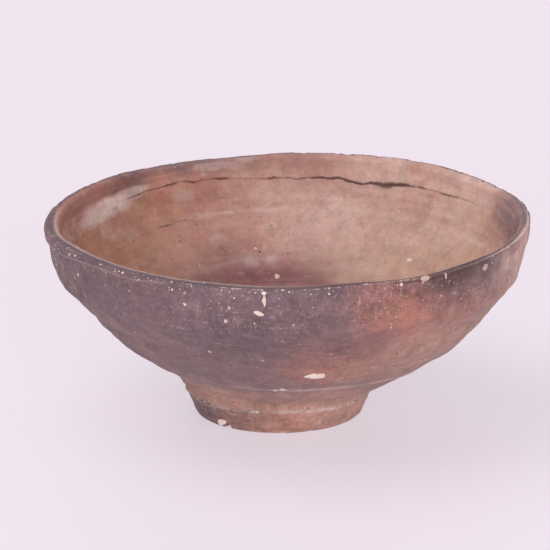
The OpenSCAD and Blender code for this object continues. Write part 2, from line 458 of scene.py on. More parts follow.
    def lip_wear(self, points, girth, angle):
        """Nicks along the lip's outer edge."""
        near = hump(girth, self.crest_out + 0.2 * MM, 1.0 * MM)
        nick = np.clip(clouds(points, 1.7, 41, 2) - 0.25, 0, 1)
        chip = np.clip(clouds(points, 4.5, 43, 2) - 0.55, 0, 1)
        return -near * (0.3 * MM * nick + 0.5 * MM * chip)


# ---------------------------------------------------------------- firing marks and painted shade

# Each mark: angle round the bowl, height in mm, spread round it and up it in mm, colour, strength
OUTSIDE_MARKS = [
    (-100, 9, 300, 20, "brown", 0.95),
    (-74, 27, 22, 9, "red", 0.8),
    (-100, 22, 30, 5, "grey", 0.5),
    (-125, 19, 26, 6, "grey", 0.7),
    (-140, 33, 30, 9, "brown", 0.2),
    # Painted shade under the wall's flare, above the foot ring.
    (-95, 12, 40, 3, "stain_and_shade", 0.08),
    (-62, 50, 15, 12, "red", 0.95),
    (-50, 40, 22, 12, "red", 0.8),
    (-36, 30, 34, 14, "tan", 0.75),
    (-14, 40, 18, 18, "tan", 0.95),
    (-5, 45, 18, 10, "pink", 0.95),
    (-46, 56, 13, 5, "stain_and_shade", 0.65),
    (-36, 53, 12, 7, "stain_and_shade", 0.2),
    (-18, 51, 12, 8, "pink", 0.85),
    (-78, 36, 14, 8, "red", 0.6),
    (-90, 38, 30, 8, "dusk", 0.4),
    (-128, 50, 26, 8, "grey", 0.8),
    (60, 40, 50, 16, "red", 0.7),
    (120, 46, 36, 18, "dusk", 0.6),
    (165, 36, 26, 14, "tan", 0.6),
]
INSIDE_MARKS = [
    (150, 48, 46, 22, "orange", 0.8),
    (178, 32, 46, 26, "orange", 0.9),
    (142, 57, 34, 5, "dusk", 0.7),
    (116, 57, 24, 5, "dusk", 0.65),
    (100, 34, 24, 10, "red", 0.3),
    # Painted shade under the rim, above the left end of the lap.
    (136, 54, 6, 4, "stain_and_shade", 0.6),
    (160, 56, 30, 5, "red", 0.7),
    (92, 56, 18, 6, "dusk", 0.35),
    (92, 55, 20, 6, "red", 0.5),
    (108, 40, 18, 11, "red", 0.35),
    (112, 49, 9, 7, "red", 0.6),
    (124, 47, 6, 8, "red", 0.5),
    (30, 34, 34, 18, "olive", 0.8),
    (60, 40, 30, 14, "pink", 0.6),
    (14, 46, 14, 12, "orange", 0.35),
    (95, 22, 26, 18, "plum", 0.95),
    (95, 13, 90, 16, "plum", 0.8),
    (78, 20, 13, 9, "plum", 0.6),
    (-90, 30, 70, 26, "tan", 0.6),
    (147, 50, 11, 3.2, "pale", 0.95),
    (135, 52.4, 7, 1.7, "pale", 0.6),
    (118, 48, 4, 1.8, "ash", 0.35),
    (110, 56, 6, 1.6, "ash", 0.45),
    (112, 36, 3, 2, "ash", 0.4),
    (104, 30, 2.5, 2, "ash", 0.4),
    (97, 31, 2, 1.6, "ash", 0.5),
    (2, 55, 22, 6.5, "grey", 1.0),
    (112, 24, 16, 12, "plum", 0.7),
    (-170, 54, 40, 6, "red", 0.5),
]


def fire_and_light_colour(wall, girth, angle, points, colours):
    """The colour before the clay's grain: marks of the flame and some painted shade, then patches, rings and
    lines over them, with a painted highlight on the lip's inner edge and, in part, at the neck.
    """
    edge = wall.brow + 0.1 * MM - 1.45 * MM * ramp(np.sin(angle), -0.15, 0.4)
    inside = girth > edge + 0.15 * MM * clouds(points, 2, 50)
    out = flame_and_shade_marks(wall, inside, girth, angle, points, colours)
    for tone, weight in (
        *patches_and_rings(wall, inside, girth, angle, points, colours),
        *edge_lines(wall, inside, girth, angle, points, colours),
    ):
        out = blend(out, tone, weight)
    return out


def flame_and_shade_marks(wall, inside, girth, angle, points, colours):
    """Broad marks of the flame, and a few of painted shade, with uneven borders. The smallest ones have the
    crispest borders.
    """
    radius = np.hypot(points[..., 0], points[..., 1])
    warp_round = clouds(points, 22, 51) * 7 * MM + clouds(points, 6, 52) * 2 * MM
    warp_up = clouds(points, 18, 53) * 4 * MM + clouds(points, 5, 54) * 1.2 * MM
    out = np.where(inside[..., None], np.array(colours.pink), np.array(colours.grey))
    for marks, side, place in (
        (OUTSIDE_MARKS, ~inside, wall.line.outside_at),
        (INSIDE_MARKS, inside, wall.line.inside_at),
    ):
        for degrees, height, spread_round, spread_up, name, strength in marks:
            away_round = from_side(angle, degrees) * radius + warp_round * min(1, spread_round / 20)
            away_up = girth - place(height * MM) + warp_up * min(1, spread_up / 8)
            far = (away_round / (spread_round * MM)) ** 2 + (away_up / (spread_up * MM)) ** 2
            crisp = 3 if spread_up < 4 else 1.5
            out = blend(out, getattr(colours, name), strength * np.exp(-(far**crisp)) * side)
    return out


def patches_and_rings(wall, inside, girth, angle, points, colours):
    """Tones and weights of the mottled patches and of the rings inside."""
    drawn = points * (1, 1, 1.8)
    blotch = clouds(drawn, 13, 55) + 0.5 * clouds(drawn, 4, 56)
    much = np.where(inside, 0.28, 0.2)
    patches = clouds(points, 3.4, 60, 2)
    rings = inside * ramp(streaks(points, girth, 22 * MM, 1.5 * MM, 58), 0.25, 1.1)
    ring_sides = 0.2 + at_side(angle, 101, 0.2) + 0.6 * at_side(angle, 25, 0.4)
    pale_ring = np.clip(hump(girth, wall.ring_path(angle), 0.5 * MM) * ring_sides, 0, 1)
    pale_ring = pale_ring * ramp(clouds(points, 7, 57), -0.9, 0.3)
    return (
        (np.where(inside[..., None], colours.red, colours.brown), much * ramp(blotch, 0.25, 1.1)),
        (np.where(inside[..., None], colours.ash, colours.dusk), much * ramp(-blotch, 0.3, 1.2)),
        (colours.pale, 0.5 * pale_ring),
        (colours.ash, np.clip(0.2 * rings + 0.3 * inside * ramp(patches, 0.75, 1.1), 0, 1)),
        (colours.orange, 0.3 * inside * ramp(-patches, 0.7, 1.1)),
    )


def edge_lines(wall, inside, girth, angle, points, colours):
    """Tones and weights of the lines along the lip, the bead, the neck and the turned ridge by the foot. The
    line along the lip's inner edge is a painted highlight, and the one at the neck is partly one.
    """
    bead_edge = wall.bead_edge(points, angle)
    outside_lip = ~inside * ramp(girth, bead_edge - 0.2 * MM, bead_edge + 0.3 * MM)
    left = 1 - ramp(np.abs(from_side(angle, -140)), 0.55, 1.1)
    right = 1 - ramp(np.abs(from_side(angle, -45)), 0.5, 1.0)
    # Painted highlight: a pale line along the lip's inner edge.
    inner_highlight = left * hump(girth, wall.brow, 0.34 * MM)
    dark_line = right * hump(girth, wall.brow - 0.2 * MM, 0.7 * MM)
    outer_line = at_side(angle, -14, 0.4) * hump(girth, wall.crest_out + 0.2 * MM, 0.3 * MM)
    bead_line = at_side(angle, -158, 0.65) * hump(girth, bead_edge + 0.1 * MM, 0.34 * MM)
    ridge_line = ~inside * hump(girth, wall.line.outside_at(19.2 * MM), 1.0 * MM)
    ridge_line = ridge_line * (0.8 + 0.5 * clouds(points, 7, 59)) * right_of_left_end(angle, 0.2)
    # Pale clay at the neck's foot, partly a painted highlight along the ledge.
    neck_wear_and_highlight = ~inside * hump(girth, 0.0, 0.5 * MM) * (0.5 + 0.5 * at_side(angle, -55, 0.6))
    return (
        (colours.dusk, 0.5 * outside_lip * at_side(angle, -120, 0.9)),
        (colours.dusk, 0.6 * left * hump(girth, wall.line.top + 0.3 * MM, 1.2 * MM)),
        (colours.stain_and_shade, 0.75 * dark_line),
        (colours.pale, np.clip(0.5 * inner_highlight + 0.35 * bead_line + 0.35 * ridge_line, 0, 1)),
        (colours.pale, np.clip(0.9 * outer_line + 0.35 * neck_wear_and_highlight, 0, 1)),
    )


def right_of_left_end(angle, least):
    """Fades the ridge by the foot out at its left end."""
    return least + (1 - least) * ramp(from_side(angle, -118), 0, 0.35)


def wall_masks(wall, girth, angle, points):
    """Where the wall is worn pale, where it is dark with stains and painted shade, how sandy it is, and how
    plainly tool marks show.
    """
    inside = girth > wall.line.top
    height = points[..., 2]
    patchy = 1 + 0.5 * clouds(points, 14, 61)
    outer = 0.35 + 0.45 * at_side(angle, -90, 0.45) - 0.15 * at_side(angle, -52, 0.3)
    outer = outer + 0.5 * at_side(angle, -14, 0.35)
    lip = outer * patchy * hump(girth, wall.crest_out, 0.4 * MM)
    bead_edge = wall.bead_edge(points, angle)
    bead = 0.3 * at_side(angle, -150, 0.7) * patchy * hump(girth, bead_edge + 0.2 * MM, 0.4 * MM)
    turned = 0.42 * patchy * hump(girth, wall.line.outside_at(19.4 * MM), 0.7 * MM)
    turned = turned * right_of_left_end(angle, 0.3)
    depth = wall.lap_depth(points, angle)
    # Painted shade: a dark line in the lap's groove under the lip's overhang, with the dark clay of the
    # joint.
    lap = 0.9 * depth * hump(girth, wall.lap_high_in + 0.2 * MM, 0.45 * MM)
    lap += 0.25 * depth * hump(girth, wall.lap_high_in + 0.1 * MM, 1.1 * MM)
    lap += 0.6 * at_side(angle, 63, 0.035) * hump(girth, wall.lap_high_in + 0.7 * MM, 1.2 * MM)
    crack = 0.7 * at_side(angle, 126, 0.2) * hump(girth, wall.ring_path(angle), 0.4 * MM)
    notch = 0.8 * at_side(angle, -50, 0.28) * hump(girth, wall.crest_out - 0.9 * MM, 0.45 * MM) * patchy
    # Painted shade in the recess under the bead.
    shade_under_bead = 0.25 * at_side(angle, -160, 0.7) * hump(girth, bead_edge - 0.5 * MM, 0.4 * MM)
    sandy = np.where(inside, 0.22, 0.45 + 0.55 * ramp(height, 38 * MM, 53 * MM))
    tooled = np.where(inside, 0.3, 1.0)
    return {
        "wear_and_highlight": np.clip(lip + bead + turned, 0, 1),
        "stain_and_shade": np.clip(lap + crack + notch + shade_under_bead, 0, 1),
        "sandy": sandy * patchy,
        "tooled": tooled * patchy,
    }


# ---------------------------------------------------------------- meshes


CLAY_CREASE = math.radians(48)
STONE_CREASE = math.radians(35)


def sweep_mesh(name, rings, attributes, uv_rows, poles=False):
    """A closed mesh from rings of points, shape (rings, columns, 3): a tube closed on itself, or with poles.

    Its strips lie above each other in the texture map, in that many rows."""
    n, m = rings.shape[:2]
    row = np.arange(n - 1 if poles else n)[:, None]
    col = np.arange(m)[None, :]
    low, high = row * m, ((row + 1) % n) * m
    step = (col + 1) % m
    quads = np.stack([low + col, low + step, high + step, high + col], axis=-1).reshape(-1, 4)
    verts = rings.reshape(-1, 3)
    faces = quads.tolist()
    run = np.linalg.norm(np.diff(rings[:, 0], axis=0, append=rings[:1, 0]), axis=1)
    along = np.concatenate([[0], np.cumsum(run)]) / run.sum()
    here, there = along[:-1][row] + 0 * col, along[1:][row] + 0 * col
    strip = m // uv_rows
    left = (col % strip) / strip + 0.0 * row
    right = left + 1 / strip
    band = (col // strip) + 0 * row
    tall = lambda g: (band + 0.02 + 0.96 * g) / uv_rows
    wide = lambda f: 0.005 + 0.99 * f
    corners = [(left, here), (right, here), (right, there), (left, there)]
    uv = np.stack([x for f, g in corners for x in (wide(f), tall(g))], axis=-1).reshape(-1, 2)
    ends = [(0, True), (n - 1, False)] if poles else []
    for at, flip in ends:
        centre = len(verts)
        verts = np.concatenate([verts, rings[at].mean(axis=0, keepdims=True)])
        ring = at * m + np.arange(m)
        following = at * m + (np.arange(m) + 1) % m
        fan = np.stack([following, ring] if flip else [ring, following], axis=-1)
        faces += [[a, b, centre] for a, b in fan.tolist()]
        f = (np.arange(m) % strip) / strip
        g = np.full(m, along[at])
        band = np.arange(m) // strip
        corner = [wide(f), tall(g)]
        after = [wide(f + 1 / strip), tall(g)]
        tip = [wide(f + 0.5 / strip), tall(g - 0.003 if flip else g + 0.003)]
        order = [after, corner, tip] if flip else [corner, after, tip]
        uv = np.concatenate([uv, np.stack([x for pair in order for x in pair], axis=-1).reshape(-1, 2)])
    mesh = bpy.data.meshes.new(name)
    mesh.from_pydata(verts.tolist(), [], faces)
    mesh.uv_layers.new(name="OFBake").data.foreach_set("uv", uv.astype(np.float32).ravel())
    for label, values in attributes.items():
        flat = values.reshape(n * m, -1)
        tips = [flat[at * m : at * m + m].mean(axis=0, keepdims=True) for at, _ in ends]
        flat = np.concatenate([flat, *tips])
        kind, field = "FLOAT", "value"
        if flat.shape[1] == 3:
            flat = np.concatenate([flat, np.ones((len(flat), 1))], axis=1)
            kind, field = "FLOAT_COLOR", "color"
        data = mesh.attributes.new(label, kind, "POINT").data
        data.foreach_set(field, flat.astype(np.float32).ravel())
    mesh.shade_smooth()
    mesh.set_sharp_from_angle(angle=CLAY_CREASE)
    mesh.validate()
    return mesh


def add_piece(context, name, mesh, material, node):
    """Puts the mesh in the scene as the piece that stands for that CAD node."""
    mesh.materials.append(material)
    piece = bpy.data.objects.new(name, mesh)
    context.scene.collection.objects.link(piece)
    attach(piece, "root")
    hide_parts(node)
    return piece


def spread(start, stop, spacing):
    """Girth values from start to stop, close to that far apart."""
    return np.linspace(start, stop, max(2, int(round(abs(stop - start) / spacing)) + 1))


def wall_piece(wall, spans, columns, colours, under=None):
    """Rings and attributes of a piece that shows on those spans of the wall, with laps hidden between them.

    The last span is joined to the first, unless the piece starts with an underside's rings and girths."""
    angle = ring_angles(columns)
    shown = []
    for start, stop, spacing in spans:
        girth = spread(start, stop, spacing)[:, None] + 0 * angle
        shown.append((wall.surface(girth, angle + 0 * girth), girth))
    joined = [under] if under else []
    for k, (rings, girth) in enumerate(shown):
        joined.append((rings, girth))
        if under and k == len(shown) - 1:
            break
        next_rings, next_girth = shown[(k + 1) % len(shown)]
        for share in (0.25, 0.5, 0.75):
            lap = (rings[-1] * (1 - share) + next_rings[0] * share)[None]
            joined.append((lap, girth[-1:] if share < 0.6 else next_girth[:1]))
    points = np.concatenate([rings for rings, _ in joined])
    girth = np.concatenate([girth for _, girth in joined])
    angles = angle + 0 * girth
    masks = wall_masks(wall, girth, angles, points)
    return points, {"fire_and_painted_light": fire_and_light_colour(wall, girth, angles, points, colours), "girth": girth, **masks}


# ---------------------------------------------------------------- shader groups


def add(tree, kind, inputs=None, **settings):
    """A node with those settings, its inputs linked or set."""
    node = tree.nodes.new(kind)
    for name, value in settings.items():
        setattr(node, name, value)
    return feed(tree, node, inputs or {})


def feed(tree, node, inputs):
    for name, value in inputs.items():
        if isinstance(value, bpy.types.NodeSocket):
            tree.links.new(value, node.inputs[name])
        else:
            node.inputs[name].default_value = value
    return node


def object_place(tree):
    """The point on the object, in metres."""
    return add(tree, "ShaderNodeTexCoord").outputs["Object"]


def maths(tree, operation, a, b=0.0, c=0.0, clamp=False):
    return add(tree, "ShaderNodeMath", {0: a, 1: b, 2: c}, operation=operation, use_clamp=clamp).outputs[0]


def times(tree, a, b):
    return maths(tree, "MULTIPLY", a, b)


def times_plus(tree, a, b, c):
    """a times b, plus c."""
    return maths(tree, "MULTIPLY_ADD", a, b, c)


def larger(tree, a, b):
    return maths(tree, "MAXIMUM", a, b)


def vector_maths(tree, operation, a, b):
    return add(tree, "ShaderNodeVectorMath", {0: a, 1: b}, operation=operation).outputs[0]


def remap(tree, value, from_low, from_high, to_low=0.0, to_high=1.0):
    """Value carried smoothly from one range to another."""
    return add(
        tree,
        "ShaderNodeMapRange",
        {0: value, 1: from_low, 2: from_high, 3: to_low, 4: to_high},
        interpolation_type="SMOOTHSTEP",
    ).outputs[0]


def mixed(tree, factor, a, b):
    """Colour a carried towards b."""
    a, b = (tone if isinstance(tone, bpy.types.NodeSocket) else (*tone, 1) for tone in (a, b))
    node = add(tree, "ShaderNodeMix", data_type="RGBA")
    return feed(tree, node, {0: factor, 6: a, 7: b}).outputs[2]


def lightened(tree, colour, value):
    return add(tree, "ShaderNodeHueSaturation", {"Color": colour, "Value": value}).outputs[0]


def noise(tree, vector, scale, detail=3.0, rough=0.55, output="Fac"):
    inputs = {"Vector": vector, "Scale": scale, "Detail": detail, "Roughness": rough}
    return add(tree, "ShaderNodeTexNoise", inputs).outputs[output]


def begin_group(name, inputs, outputs):
    tree = bpy.data.node_groups.new(name, "ShaderNodeTree")
    for label, kind, value in inputs:
        socket = tree.interface.new_socket(label, in_out="INPUT", socket_type=kind)
        socket.default_value = value
    for label, kind in outputs:
        tree.interface.new_socket(label, in_out="OUTPUT", socket_type=kind)
    return tree, tree.nodes.new("NodeGroupInput").outputs, tree.nodes.new("NodeGroupOutput").inputs


FLOAT, COLOUR = "NodeSocketFloat", "NodeSocketColor"


def build_mottle():
    """Clouds of lighter, darker, warmer and cooler clay at four sizes."""
    tree, given, out = begin_group(
        "Clay mottle",
        [
            ("Colour", COLOUR, (0.5, 0.5, 0.5, 1)),
            ("Light and dark", FLOAT, 0.3),
            ("Warm and cool", FLOAT, 0.03),
        ],
        [("Colour", COLOUR)],
    )
    place = object_place(tree)
    total = 0.0
    for scale, detail, share in ((60.0, 3.0, 1.0), (220.0, 2.0, 1.3), (700.0, 2.0, 0.9), (2400.0, 1.0, 0.35)):
        off = maths(tree, "SUBTRACT", noise(tree, place, scale, detail, 0.6), 0.5)
        total = times_plus(tree, off, share, total)
    value = times_plus(tree, total, given["Light and dark"], 1.0)
    tone = maths(tree, "SUBTRACT", noise(tree, place, 170.0, 3.0, 0.65), 0.5)
    hue = times_plus(tree, tone, given["Warm and cool"], 0.5)
    shifted = add(
        tree,
        "ShaderNodeHueSaturation",
        {"Color": given["Colour"], "Hue": hue, "Saturation": 1.0, "Value": value},
    ).outputs[0]
    tree.links.new(shifted, out["Colour"])


def build_lines():
    """Fine lines that the fingers and the turning tool dragged round the bowl."""
    tree, given, out = begin_group(
        "Drag lines", [("Girth", FLOAT, 0.0), ("Spacing", FLOAT, 0.001)], [("Mask", FLOAT)]
    )
    place = add(tree, "ShaderNodeSeparateXYZ", {0: object_place(tree)}).outputs
    across = maths(tree, "DIVIDE", given["Girth"], given["Spacing"])
    x, y = (times(tree, place[axis], 95.0) for axis in ("X", "Y"))
    vector = add(tree, "ShaderNodeCombineXYZ", {"X": x, "Y": y, "Z": across}).outputs[0]
    tree.links.new(noise(tree, vector, 1.0, 3.0, 0.7), out["Mask"])


def build_grit():
    """Grains in the clay, or pits left by them: a share of the cells holds one, of its own size."""
    tree, given, out = begin_group(
        "Grit",
        [("Cell", FLOAT, 0.002), ("Share", FLOAT, 0.3), ("Size", FLOAT, 0.3), ("Offset", FLOAT, 0.0)],
        [("Mask", FLOAT)],
    )
    place = object_place(tree)
    ragged = noise(tree, place, 1300.0, 1.0, 0.5, "Color")
    shifted = vector_maths(tree, "MULTIPLY", ragged, (0.0016, 0.0016, 0.0016))
    offset = vector_maths(tree, "ADD", vector_maths(tree, "ADD", place, shifted), given["Offset"])
    cells = add(
        tree, "ShaderNodeTexVoronoi", {"Vector": offset, "Scale": maths(tree, "DIVIDE", 1.0, given["Cell"])}
    )
    chance = add(tree, "ShaderNodeSeparateColor", {0: cells.outputs["Color"]}).outputs
    there = maths(tree, "LESS_THAN", chance[0], given["Share"])
    reach = times(tree, given["Size"], remap(tree, chance[1], 0.0, 1.0, 0.45, 1.0))
    near = maths(tree, "DIVIDE", maths(tree, "SUBTRACT", reach, cells.outputs["Distance"]), 0.16, clamp=True)
    seen = times(tree, near, remap(tree, chance[2], 0.0, 1.0, 0.35, 1.0))
    tree.links.new(times(tree, there, seen), out["Mask"])


def build_worn():
    """Breaks a soft mask up into grains, which close up where the mask is strong."""
    tree, given, out = begin_group(
        "Worn edge",
        [("Wear", FLOAT, 0.0), ("Grain", FLOAT, 900.0), ("Amount", FLOAT, 1.0)],
        [("Mask", FLOAT)],
    )
    place = object_place(tree)
    grain = noise(tree, place, given["Grain"], 2.0, 0.65)
    patches = noise(tree, place, 240.0, 2.0, 0.6)
    both = times_plus(tree, patches, 0.7, grain)
    total = times_plus(tree, given["Wear"], 0.42, both)
    mask = remap(tree, total, 1.02, 1.22)
    kept = times(tree, mask, remap(tree, given["Wear"], 0.05, 0.3))
    tree.links.new(times(tree, kept, given["Amount"]), out["Mask"])


def use(tree, group, inputs):
    """Places a group with its own values."""
    node = add(tree, "ShaderNodeGroup", node_tree=bpy.data.node_groups[group])
    return feed(tree, node, inputs).outputs[0]


def build_groups():
    for name, build in (
        ("Clay mottle", build_mottle),
        ("Drag lines", build_lines),
        ("Grit", build_grit),
        ("Worn edge", build_worn),
    ):
        if name not in bpy.data.node_groups:
            build()


def attribute(tree, name, output="Fac"):
    return add(tree, "ShaderNodeAttribute", attribute_name=name).outputs[output]


def new_material(name, roughness):
    material = bpy.data.materials.new(name)
    material.use_nodes = True
    tree = material.node_tree
    shader = tree.nodes["Principled BSDF"]
    shader.inputs["Roughness"].default_value = roughness
    shader.inputs["Specular IOR Level"].default_value = 0.3
    shader.inputs["Sheen Weight"].default_value = 0.05
    shader.inputs["Sheen Roughness"].default_value = 0.5
    return material, tree, shader


def clay_material(name, colours, line_spacing=0.0011, grit=0.3, drag=0.34):
    """Wood-fired clay over the colours of the flame, the painted shade and the painted highlights that its
    piece carries.
    """
    material, tree, shader = new_material(name, 0.6)
    place = object_place(tree)
    sandy, tooled = attribute(tree, "sandy"), attribute(tree, "tooled")
    shade = use(
        tree,
        "Clay mottle",
        {
            "Colour": attribute(tree, "fire_and_painted_light", "Color"),
            "Light and dark": times_plus(tree, sandy, 0.5, 0.3),
            "Warm and cool": 0.06,
        },
    )
    shade, lines = tool_marks(tree, shade, place, tooled, colours, line_spacing, drag)
    shade = brush_marks(tree, shade, place, tooled, sandy, colours)
    shade, pits = dark_specks(tree, shade, place, tooled, sandy, colours)
    shade, grains, pale = pale_specks(tree, shade, place, times(tree, sandy, grit), sandy, colours)

    # The mask brings dark clay in cracks and laps, and painted shade in the lap under the lip's overhang and
    # under the bead.
    ragged = maths(tree, "SUBTRACT", noise(tree, place, 1300.0, 2.0, 0.6), 0.5)
    crack = remap(tree, times_plus(tree, ragged, 0.7, attribute(tree, "stain_and_shade")), 0.15, 0.75)
    shade = mixed(tree, times(tree, crack, 0.8), shade, colours.stain_and_shade)
    # Worn clay laid bare, and on the foot's ledge partly a painted highlight.
    worn = use(tree, "Worn edge", {"Wear": attribute(tree, "wear_and_highlight"), "Grain": 1100.0, "Amount": 0.85})
    shade = mixed(tree, worn, shade, colours.pale)
    tree.links.new(shade, shader.inputs["Base Color"])

    gloss = remap(tree, noise(tree, place, 260.0, 3.0), 0.3, 0.7, 0.62, 0.82)
    rough = times_plus(tree, larger(tree, pale, worn), 0.18, gloss)
    tree.links.new(rough, shader.inputs["Roughness"])

    height = times_plus(tree, times(tree, lines, tooled), 0.7, noise(tree, place, 1500.0, 3.0, 0.65))
    height = times_plus(tree, larger(tree, grains, worn), 0.5, height)
    height = times_plus(tree, pits, -0.7, height)
    normal = add(tree, "ShaderNodeBump", {"Strength": 1.0, "Distance": 0.0003, "Height": height}).outputs[0]
    tree.links.new(normal, shader.inputs["Normal"])
    return material


def tool_marks(tree, shade, place, tooled, colours, line_spacing, drag):
    """Drag lines at two widths, with pale scratches in the narrow ones."""
    girth = attribute(tree, "girth")
    lines = use(tree, "Drag lines", {"Girth": girth, "Spacing": line_spacing})
    wide_lines = use(tree, "Drag lines", {"Girth": girth, "Spacing": line_spacing * 3.2})
    both = maths(tree, "SUBTRACT", times_plus(tree, wide_lines, 0.8, lines), 0.9)
    shade = lightened(tree, shade, times_plus(tree, both, times(tree, tooled, drag), 1.0))
    scratch = times(tree, remap(tree, lines, 0.60, 0.74), tooled)
    scratch = times(tree, scratch, remap(tree, noise(tree, place, 600.0, 2.0), 0.48, 0.64))
    return mixed(tree, times(tree, scratch, 0.55), shade, colours.pale), lines


def brush_marks(tree, shade, place, tooled, sandy, colours):
    """Faint upright strokes, and short pale runs where the clay is sandy."""
    upright = vector_maths(tree, "MULTIPLY", place, (900.0, 900.0, 70.0))
    strokes = times(tree, maths(tree, "SUBTRACT", noise(tree, upright, 1.0, 2.0), 0.5), tooled)
    shade = lightened(tree, shade, times_plus(tree, strokes, 0.35, 1.0))
    short = vector_maths(tree, "MULTIPLY", place, (1300.0, 1300.0, 330.0))
    runs = times(tree, remap(tree, noise(tree, short, 1.0, 1.0), 0.66, 0.74), remap(tree, sandy, 0.6, 1.1))
    return mixed(tree, times(tree, runs, 0.35), shade, colours.pale)


def dark_specks(tree, shade, place, tooled, sandy, colours):
    """Pits left by burnt-out grains, and soot."""
    share = times(tree, 0.42, tooled)
    pits = use(tree, "Grit", {"Cell": 0.0017, "Share": share, "Size": 0.29, "Offset": 0.31})
    shade = mixed(tree, times(tree, pits, 0.66), shade, colours.stain_and_shade)
    soot = times(tree, remap(tree, noise(tree, place, 1250.0, 2.0, 0.6), 0.60, 0.72), sandy)
    return mixed(tree, times(tree, soot, 0.4), shade, colours.stain_and_shade), pits


def pale_specks(tree, shade, place, share, sandy, colours):
    """Grains, dust and flecks of ash."""
    grains = use(tree, "Grit", {"Cell": 0.0023, "Share": share, "Size": 0.23, "Offset": 0.0})
    dust = use(tree, "Grit", {"Cell": 0.0012, "Share": share, "Size": 0.30, "Offset": 0.77})
    flecks = times(tree, remap(tree, noise(tree, place, 1500.0, 2.0, 0.6), 0.60, 0.70), sandy)
    pale = larger(tree, times(tree, grains, 0.85), times(tree, dust, 0.6))
    pale = larger(tree, pale, times(tree, flecks, 0.35))
    return mixed(tree, pale, shade, colours.pale), grains, pale


def stone_material(colours):
    material, tree, shader = new_material("feldspar", 0.45)
    tint = mixed(tree, attribute(tree, "tone"), colours.stone, colours.tan)
    shade = use(tree, "Clay mottle", {"Colour": tint, "Light and dark": 0.35, "Warm and cool": 0.02})
    specks = use(tree, "Grit", {"Cell": 0.0009, "Share": 0.35, "Size": 0.3, "Offset": 0.5})
    shade = mixed(tree, times(tree, specks, 0.35), shade, colours.tan)
    tree.links.new(shade, shader.inputs["Base Color"])
    place = object_place(tree)
    height = noise(tree, place, 1900.0, 3.0)
    normal = add(tree, "ShaderNodeBump", {"Strength": 0.6, "Distance": 0.00015, "Height": height}).outputs[0]
    tree.links.new(normal, shader.inputs["Normal"])
    return material


def floor_material(stage):
    material, tree, shader = new_material("paper sweep", 0.5)
    place = object_place(tree)
    cloud = noise(tree, place, 3.0, 2.0)
    paper = [c * stage.paper for c in stage.backdrop]
    shade = mixed(tree, remap(tree, cloud, 0.3, 0.7, 0.0, 0.02), paper, (0.5, 0.48, 0.5))
    tree.links.new(shade, shader.inputs["Base Color"])
    shader.inputs["Emission Color"].default_value = (*stage.backdrop, 1)
    shader.inputs["Emission Strength"].default_value = stage.glow
    return material


# ---------------------------------------------------------------- operators


class TEABOWL_OT_base(bpy.types.Operator):
    """Build the thrown base: neck, flaring wall and floor"""

    bl_idname = "teabowl.base"
    bl_label = "Thrown Base"

    def execute(self, context):
        scene = context.scene
        wall = Wall(scene.tea_bowl_sizes)
        colours = scene.tea_bowl_colours
        columns = scene.tea_bowl_columns
        spans = [(0, wall.lap_low_out, 0.62 * MM), (wall.lap_low_in, wall.end - 1 * MM, 0.78 * MM)]
        under = self.underside(float(wall.line.at(0.0)[0]), ring_angles(columns))
        points, attributes = wall_piece(wall, spans, columns, colours, under)
        mesh = sweep_mesh("bowl_base_clay", points, attributes, 2, poles=True)
        material = clay_material("body clay", colours)
        add_piece(context, "thrown_base", mesh, material, "bowl_base")
        return {"FINISHED"}

    def underside(self, neck, angle):
        """Rings and girths of the underside, hidden by the foot ring but for the ceiling of its hollow."""
        radii = np.concatenate([np.linspace(0.6 * MM, 16 * MM, 22), np.linspace(18 * MM, neck - 1.5 * MM, 5)])
        rings = []
        for r in radii:
            ring = ring_points(r, angle, FOOT_HEIGHT, FOOT_SHIFT)
            dome = 1.1 * MM * hump(r, 0, 9 * MM) - 0.9 * MM * hump(r, 0, 3 * MM)
            tool = streaks(ring, np.full(len(angle), r), 14 * MM, 1.3 * MM, 91) * 0.14 * MM
            ring[:, 2] += (dome + tool) * (r < 17 * MM)
            rings.append(ring)
        return np.stack(rings), -(neck - radii)[:, None] + 0 * angle


class TEABOWL_OT_shoulder(bpy.types.Operator):
    """Build the coil that turns the wall up into the band"""

    bl_idname = "teabowl.shoulder"
    bl_label = "Shoulder Coil"

    def execute(self, context):
        scene = context.scene
        wall = Wall(scene.tea_bowl_sizes)
        spans = [
            (wall.lap_low_out, wall.lap_high_out, 0.36 * MM),
            (wall.lap_high_in, wall.lap_low_in, 0.26 * MM),
        ]
        points, attributes = wall_piece(wall, spans, 2 * scene.tea_bowl_columns, scene.tea_bowl_colours)
        mesh = sweep_mesh("shoulder_coil_clay", points, attributes, 4)
        material = clay_material("band clay", scene.tea_bowl_colours, grit=0.36)
        add_piece(context, "shoulder_band", mesh, material, "shoulder_coil")
        return {"FINISHED"}


class TEABOWL_OT_lip(bpy.types.Operator):
    """Build the lip coil, with its bead outside and its overhang inside"""

    bl_idname = "teabowl.lip"
    bl_label = "Lip Coil"

    def execute(self, context):
        scene = context.scene
        wall = Wall(scene.tea_bowl_sizes)
        spans = [(wall.lap_high_out, wall.lap_high_in, 0.28 * MM)]
        points, attributes = wall_piece(wall, spans, 2 * scene.tea_bowl_columns, scene.tea_bowl_colours)
        mesh = sweep_mesh("lip_coil_clay", points, attributes, 4)
        material = clay_material("lip clay", scene.tea_bowl_colours, grit=0.45)
        add_piece(context, "beaded_lip", mesh, material, "rim_coil")
        return {"FINISHED"}


